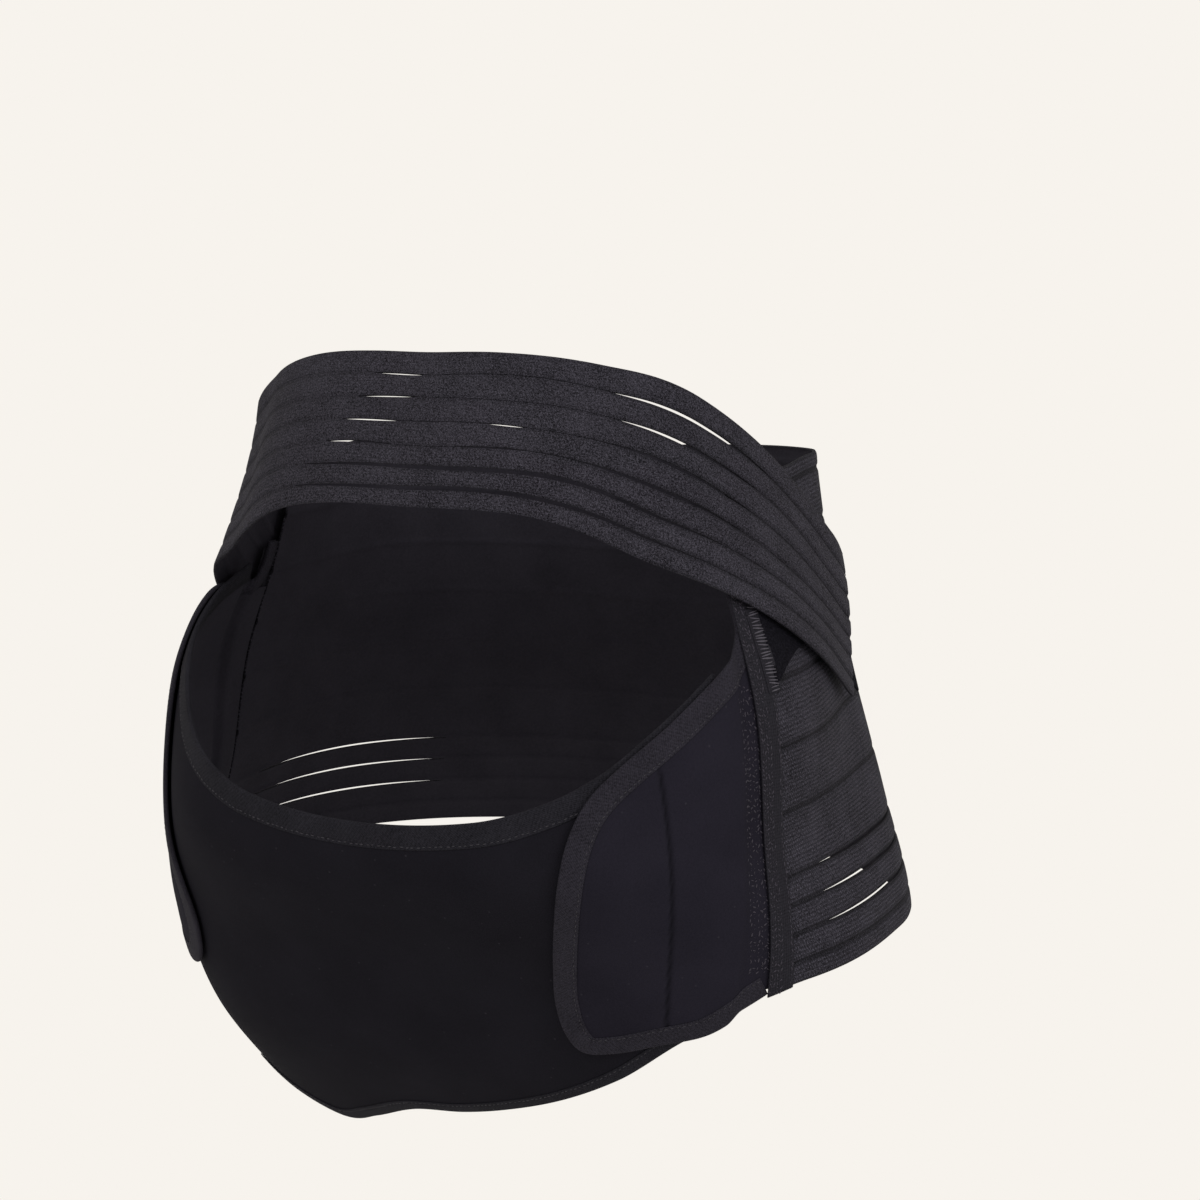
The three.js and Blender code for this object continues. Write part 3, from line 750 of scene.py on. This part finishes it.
# Side tapes: a flat woven tape sewn over each side seam, with rows of cover stitch on its
# front half and a plain row down its back edge. A folded tab barred with close tacks holds
# its head, below the upper band.
TAPE_WIDTH = 13 * MM
TAPE_THICK = 1 * MM
TAPE_TOP = 0.16
TAPE_SLANT = 0.004
TAPE_SEAT = SKIN_GAP + BACK_THICK + 0.3 * MM
TAPE_STEPS = 120
# Rows of cover stitch on the tape: share of its width forward of its middle, and slant.
TAPE_SEWING = ((0.42, 40), (0.3, -45), (0.16, 35), (0.03, -30), (-0.4, 0))
TAB_WIDTH = 9 * MM
# The tab of close tacks: share of the form's height, and degrees behind the seam.
TAB_ROWS = ((0.048, 1.2), (0.09, 0.8), (0.14, 0.2))


def flat_section(width, seat, thick):
    """Section of a flat cloth with rounded edges, centred on its path."""
    half = width / 2
    bend = thick / 2
    turns = np.radians(np.linspace(90, -90, 7))
    tops = [(place * half, seat + thick) for place in (-0.85, -0.5, 0, 0.5, 0.85)]
    right = [(half - bend + bend * math.cos(turn), seat + bend + bend * math.sin(turn)) for turn in turns]
    unders = [(place * half, seat) for place in (0.6, 0, -0.6)]
    left = [(-x, y) for x, y in right[::-1]]
    return np.array([*tops, *right, *unders, *left, tops[0]])


def woven_tape():
    """Plain woven tape with fine lengthways cords."""
    finish = Finish("seam tape")
    cords = (finish.across * (2 * math.pi / 1.3)).sine() * 0.5 + 0.5
    picks = (finish.along * (2 * math.pi / 1.5)).sine() * 0.5 + 0.5
    fuzz = finish.noise(finish.place, 0.8, 2.0, 0.7)
    shade = (cords * 0.2 + picks * 0.15 + (fuzz - 0.5) * 1.2 + 0.3).clamped()
    colour = finish.blend(shade, tone(12, 11, 15), tone(41, 40, 46))
    return finish.done(
        colour, 0.80 + 0.12 * fuzz, cords * 0.5 + picks * 0.4 + fuzz * 0.5, 0.15 * MM, Specular_IOR_Level=0.06
    )


seam_tape = woven_tape()
tack_thread = thread("tack thread", tone(40, 38, 44), tone(84, 81, 90))


def add_tape(side):
    """The tape's foot is cut along the hem, which climbs towards the back."""
    name = side["name"]
    foot = BACK_HEM_ROWS[0][1] * FORM_HEIGHT
    heights = np.linspace(foot, TAPE_TOP * FORM_HEIGHT, TAPE_STEPS)
    lean = through(TAPE_LEAN_ROWS, heights / FORM_HEIGHT)
    middle = (side["sign"] * (side["seam"] + lean), heights)
    section = flat_section(TAPE_WIDTH, TAPE_SEAT, TAPE_THICK)
    turn, climb = sideways(*middle)
    across = section[None, :, 0]
    fallen = 1 - np.linspace(0, 1, TAPE_STEPS)[:, None]
    slope = -side["sign"] * across / (TAPE_WIDTH / 2) * TAPE_SLANT * FORM_HEIGHT
    angles = middle[0][:, None] + turn[:, None] * across
    points = lifted(angles, heights[:, None] + slope * fallen**4, section[None, :, 1] + 0 * angles)
    tape = laid(f"side_tape_woven_{name}", points, closed=True)
    dress(tape, seam_tape)
    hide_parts(f"side_tape_{name}")
    top = TAPE_SEAT + TAPE_THICK + 0.02 * MM
    rows = [(*shifted(middle, side["sign"] * share * TAPE_WIDTH), top, slant) for share, slant in TAPE_SEWING]
    plain = stitches(
        f"side_tape_stitches_{name}", rows,
        pitch=2.3 * MM, long=1.7 * MM, wide=0.55 * MM, high=0.4 * MM, uneven=0.4,
    )
    dress(plain, cover_thread)
    tab_share = np.linspace(TAB_ROWS[0][0], TAB_ROWS[-1][0], 40)
    tab_path = (side["sign"] * (side["seam"] + through(TAB_ROWS, tab_share)), tab_share * FORM_HEIGHT)
    tab_seat = TAPE_SEAT + TAPE_THICK - 0.2 * MM
    tab = strip(f"side_tape_tab_{name}", tab_path, flat_section(TAB_WIDTH, tab_seat, 0.7 * MM))
    dress(tab, seam_tape)
    tacks = stitches(
        f"side_tape_tacks_{name}", [(*tab_path, tab_seat + 0.75 * MM, 90)],
        pitch=1.65 * MM, long=8 * MM, wide=0.8 * MM, high=0.6 * MM,
    )
    dress(tacks, tack_thread)
    return [tape, plain, tab, tacks]


sewn_on_back = [*add_tape(LEFT), *add_tape(RIGHT)]

# Loop patches: soft loop pile sewn on behind each side seam, where the upper band fastens.
# Each runs down beside the seam and then follows the band, which covers most of it. A dark
# velvety triangle shows below the band.
PILE_THICK = 1.35 * MM
LOOP_SEAT = SKIN_GAP + BACK_THICK + LAYER_GAP
LOOP_START = 1.4
LOOP_END = 94
LOOP_COVER = 30 * MM
LOOP_TOP = 0.25
# The patch's foot: degrees behind its front edge, and share of the form's height.
LOOP_FOOT_ROWS = ((0, 0.052), (4.5, 0.076), (9, 0.088), (60, 0.1))
# The middle of the upper band over it: degrees round the form, share of the form's height.
BAND_MIDDLE_ROWS = (
    (0, 0.345), (15, 0.345), (27, 0.337), (38, 0.316), (48, 0.281), (60, 0.232), (70, 0.187), (80, 0.139),
    (93, 0.083), (100, 0.06),
)


def loop_pile():
    """Deep matt pile of small uneven loops."""
    finish = Finish("loop pile")
    loops = finish.cells(finish.place, 1.0)
    tufts = finish.noise(finish.place, 2.4, 3.0, 0.7)
    shade = (loops * 0.7 + tufts * 0.4 - 0.1).clamped()
    colour = finish.blend(shade, tone(4, 4, 6), tone(27, 26, 32))
    return finish.done(colour, 0.9 + 0.08 * tufts, loops + tufts, 0.5 * MM, Specular_IOR_Level=0.02)


pile_cloth = loop_pile()


def add_loop(side):
    start = side["seam"] + LOOP_START
    behind_edge = np.linspace(0, LOOP_END - start, 70)
    band = through(BAND_MIDDLE_ROWS, start + behind_edge) * FORM_HEIGHT
    foot = np.minimum(through(LOOP_FOOT_ROWS, behind_edge) * FORM_HEIGHT, band - LOOP_COVER)[:, None]
    top = np.minimum(LOOP_TOP * FORM_HEIGHT, band + LOOP_COVER)[:, None]
    width = 2 * LOOP_COVER
    section = flat_section(width, LOOP_SEAT, PILE_THICK)
    share = section[None, :, 0] / width + 0.5
    heights = foot + (top - foot) * share
    angles = side["sign"] * (start + behind_edge)[:, None] + 0 * heights
    patch = laid(f"loop_patch_pile_{side['name']}", lifted(angles, heights, section[None, :, 1]), closed=True)
    dress(patch, pile_cloth)
    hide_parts(f"loop_patch_{side['name']}")
    return patch


sewn_on_back += [add_loop(LEFT), add_loop(RIGHT)]

# Upper band: one strap of seven-ribbed elastic, worn across the top of the belly and down to
# the loop patches at the sides. Its ribs part into long slits where the cloth is cut through,
# wider in their middle and closing to a point at each end.
BAND_WIDTH = 77 * MM
# The ribs from the lowest to the highest, as shares of them all.
BAND_RIBS = (0.128, 0.134, 0.134, 0.147, 0.151, 0.152, 0.154)
BAND_GROOVE = 1.4 * MM
BAND_THICK = 2.2 * MM
BAND_WALL = 1.3 * MM
BAND_END = 92
BAND_SEAT = LOOP_SEAT + PILE_THICK + LAYER_GAP + PILE_THICK + LAYER_GAP
BAND_SLIT_HALF = 1.15 * MM
BAND_WANDER = 0.55 * MM
BAND_SPREAD = 0.045
SPREAD_ANGLE = 47
SPREAD_REACH = 14
# The grooves are shallow over the belly and reach their full depth at the sides.
SHALLOW_SHARE = 0.45
SHALLOW_FROM, SHALLOW_TO = 18, 52
# Groove counted from the lowest, and where along it the cloth is cut through.
BAND_SLITS = (
    (0, -25, 53), (1, -22, 56), (2, -18, -4), (2, 9, 22), (2, 30, 58), (3, -16, -3), (3, 14, 21), (3, 34, 59),
    (4, -14, -1), (4, 35, 59), (5, -12.5, 0), (5, 33, 62),
)


def band_inner(angle):
    """The band lies on the form in front and on the loop patches at the sides."""
    rise_from = np.where(angle > 0, LEFT["band_rise"][0], RIGHT["band_rise"][0])
    rise_to = np.where(angle > 0, LEFT["band_rise"][1], RIGHT["band_rise"][1])
    return SKIN_GAP + (BAND_SEAT - SKIN_GAP) * ramp(np.abs(angle), rise_from, rise_to)


band_elastic = ribbed_elastic("band elastic", 1.6, 0.2, tone(12, 11, 15), tone(67, 65, 74), 0.4)
band_angles = np.linspace(-BAND_END, BAND_END, 373)
band_path = (band_angles, through(BAND_MIDDLE_ROWS, np.abs(band_angles)) * FORM_HEIGHT)
rib_room = BAND_WIDTH - (len(BAND_RIBS) - 1) * BAND_GROOVE
band_lines = []
band_cut = []
for groove in range(len(BAND_RIBS) - 1):
    centre = sum(BAND_RIBS[: groove + 1]) * rib_room + (groove + 0.5) * BAND_GROOVE - BAND_WIDTH / 2
    wander = np.sin(band_angles / 5.3 + 2.1 * groove) + np.sin(band_angles / 8.9 - 1.3 * groove)
    opened = np.zeros_like(band_angles)
    for _, start, end in (slit for slit in BAND_SLITS if slit[0] == groove):
        share = min(1, (end - start) / 60 + 0.15)
        opened = np.maximum(opened, spindle(band_angles, start, end) * share)
    band_lines.append((centre + BAND_WANDER / 2 * wander, SLIT_END + (BAND_SLIT_HALF - SLIT_END) * opened))
    band_cut.append((opened[:-1] > 0) & (opened[1:] > 0))
half_band = BAND_WIDTH / 2 + 0 * band_angles
band_across, band_relief, band_rows = ribbed_rows(-half_band, half_band, band_lines)
band_across *= (1 + BAND_SPREAD * np.exp(-(((band_angles - SPREAD_ANGLE) / SPREAD_REACH) ** 2)))[:, None]
band_turn, band_climb = sideways(*band_path)
band_grid = (
    band_path[0][:, None] + band_turn[:, None] * band_across,
    band_path[1][:, None] + band_climb[:, None] * band_across,
)
band_open = np.zeros((len(band_angles) - 1, band_across.shape[1] - 1), bool)
for is_cut, row in zip(band_cut, band_rows):
    band_open[:, row] = is_cut
groove_share = SHALLOW_SHARE + (1 - SHALLOW_SHARE) * ramp(np.abs(band_angles), SHALLOW_FROM, SHALLOW_TO)
band_relief = 1 - (1 - band_relief) * groove_share[:, None]
band_lift = band_inner(band_grid[0]) + BAND_THICK - GROOVE_DEPTH * (1 - band_relief)
band_weave = np.stack(
    [lengths(lifted(*band_path, 0.0))[:, None] + 0 * band_across, band_across + BAND_WIDTH / 2], axis=-1
)
upper_band = laid(
    "upper_band_elastic", lifted(*band_grid, band_lift), band_weave, is_open=band_open,
    shade=np.clip(1 - band_relief, 0, 1),
)
thicken(upper_band, BAND_WALL, edge=0.2 * MM)
dress(upper_band, band_elastic, inner_nap)
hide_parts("upper_band")

# Hook tabs: a plain patch of stiff hook cloth sewn inside each end of the upper band. They
# press into the loop patches and are hidden, so they are finished plainly. The rows of
# stitches that hold each one show on the outside of the band's end.
HOOK_LENGTH = 36 * MM
HOOK_WIDTH = 50 * MM
HOOK_SEAT = LOOP_SEAT + PILE_THICK + LAYER_GAP
# Rows of stitches across a band's end: degrees from it, and share of the width reached.
END_ROWS = (1.0, 2.1)
END_REACH = 0.47
END_LEAN = 2.0 * MM


def add_hook(side):
    there = on_form(BAND_END + PROBE, 0.0) - on_form(BAND_END - PROBE, 0.0)
    start = BAND_END - HOOK_LENGTH / (np.linalg.norm(there) / (2 * PROBE))
    angles = side["sign"] * np.linspace(start, BAND_END - 1, 30)
    path = (angles, through(BAND_MIDDLE_ROWS, np.abs(angles)) * FORM_HEIGHT)
    tab = strip(f"band_hook_tab_{side['name']}", path, flat_section(HOOK_WIDTH, HOOK_SEAT, PILE_THICK))
    dress(tab, pile_cloth)
    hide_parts(f"band_hook_{side['name']}")
    ends = []
    k = 0 if side["sign"] < 0 else -1
    for back_off in END_ROWS:
        across = np.linspace(-END_REACH, END_REACH, 80) * BAND_WIDTH
        angle = band_path[0][k] - side["sign"] * back_off + band_turn[k] * across
        height = band_path[1][k] + side["sign"] * back_off * END_LEAN + band_climb[k] * across
        ends.append((angle, height, band_inner(angle) + BAND_THICK - 0.1 * MM, 0))
    sewn = stitches(
        f"band_end_stitches_{side['name']}", ends, pitch=2.6 * MM, long=1.8 * MM, wide=0.5 * MM, high=0.4 * MM
    )
    dress(sewn, sewn_thread)
    return [tab, sewn]


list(add_hook(LEFT))
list(add_hook(RIGHT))

# Stage: a pale floor that curves up into an even pale backdrop all round, well clear of the
# belt, which hangs at the height at which it is worn. It lights the cloth softly.
FLOOR = -1.5
ROOM = 4.0
# The room's outline: share of its half width, and metres above its floor.
ROOM_EDGE = ((0, 0), (0.5, 0), (0.8, 0.2), (1, 1.0), (1, 3.0), (0.8, 4.2), (0.45, 4.8), (0, 5.0))
PALE = tone(247, 243, 237)


def pale_surface():
    finish = Finish("pale studio")
    cloud = finish.noise(finish.place, 900, 1.0)
    shader = finish.node(
        "ShaderNodeBsdfPrincipled", {},
        {"Base Color": (0.0, 0.0, 0.0, 1.0), "Roughness": 0.9 + 0.05 * cloud, "Specular IOR Level": 0.0,
         "Emission Color": PALE, "Emission Strength": 1.0},
    )
    finish.node_output(shader)
    finish.material.cycles.emission_sampling = "NONE"
    return finish.material


room = bmesh.new()
corners = [room.verts.new((ROOM * share, 0, FLOOR + rise)) for share, rise in ROOM_EDGE]
profile = [room.edges.new(pair) for pair in zip(corners, corners[1:])]
bmesh.ops.spin(
    room, geom=[*corners, *profile], axis=(0, 0, 1), cent=(0, 0, 0), steps=48, angle=2 * math.pi, use_merge=True
)
bmesh.ops.remove_doubles(room, verts=room.verts, dist=MM)
bmesh.ops.recalc_face_normals(room, faces=room.faces)
bmesh.ops.reverse_faces(room, faces=room.faces)
room.loops.layers.uv.new("weave")
studio = shown("studio_room", room)
studio.data.materials.append(pale_surface())

# Lights: one broad soft light high in front, and a weaker one on the right of the view, so
# that the ribs and folded edges have a light and a dark side.
LIGHTS = (
    ("soft key", (0.2, -2.3, 1.6), 1.4, 23),
    ("soft side", (2.2, -0.7, 0.9), 1.2, 18),
)
for light_name, light_place, light_size, light_power in LIGHTS:
    lamp = bpy.data.lights.new(light_name, "AREA")
    lamp.shape = "DISK"
    lamp.size = light_size
    lamp.energy = light_power
    holder = bpy.data.objects.new(light_name, lamp)
    holder.location = light_place
    holder.rotation_euler = (-Vector(light_place)).to_track_quat("-Z", "Y").to_euler()
    bpy.context.scene.collection.objects.link(holder)

# Camera: at the photograph's angle, a little above the belt and towards its left side.
VIEW_TURN = math.radians(26)
VIEW_PITCH = math.radians(8.1)
VIEW_AWAY = 1.278
VIEW_RIGHT = 0.0204
VIEW_UP = 0.0397
LENS = 73.2
level = math.cos(VIEW_PITCH)
backward = Vector((math.sin(VIEW_TURN) * level, -math.cos(VIEW_TURN) * level, math.sin(VIEW_PITCH)))
rightward = Vector((math.cos(VIEW_TURN), math.sin(VIEW_TURN), 0))
camera = bpy.data.objects.new("camera", bpy.data.cameras.new("camera"))
camera.data.lens = LENS
camera.data.sensor_width = 36
camera.location = backward * VIEW_AWAY + rightward * VIEW_RIGHT + backward.cross(rightward) * VIEW_UP
camera.rotation_euler = (-backward).to_track_quat("-Z", "Y").to_euler()
bpy.context.scene.collection.objects.link(camera)
bpy.context.scene.camera = camera
bpy.context.scene.view_settings.view_transform = "Standard"
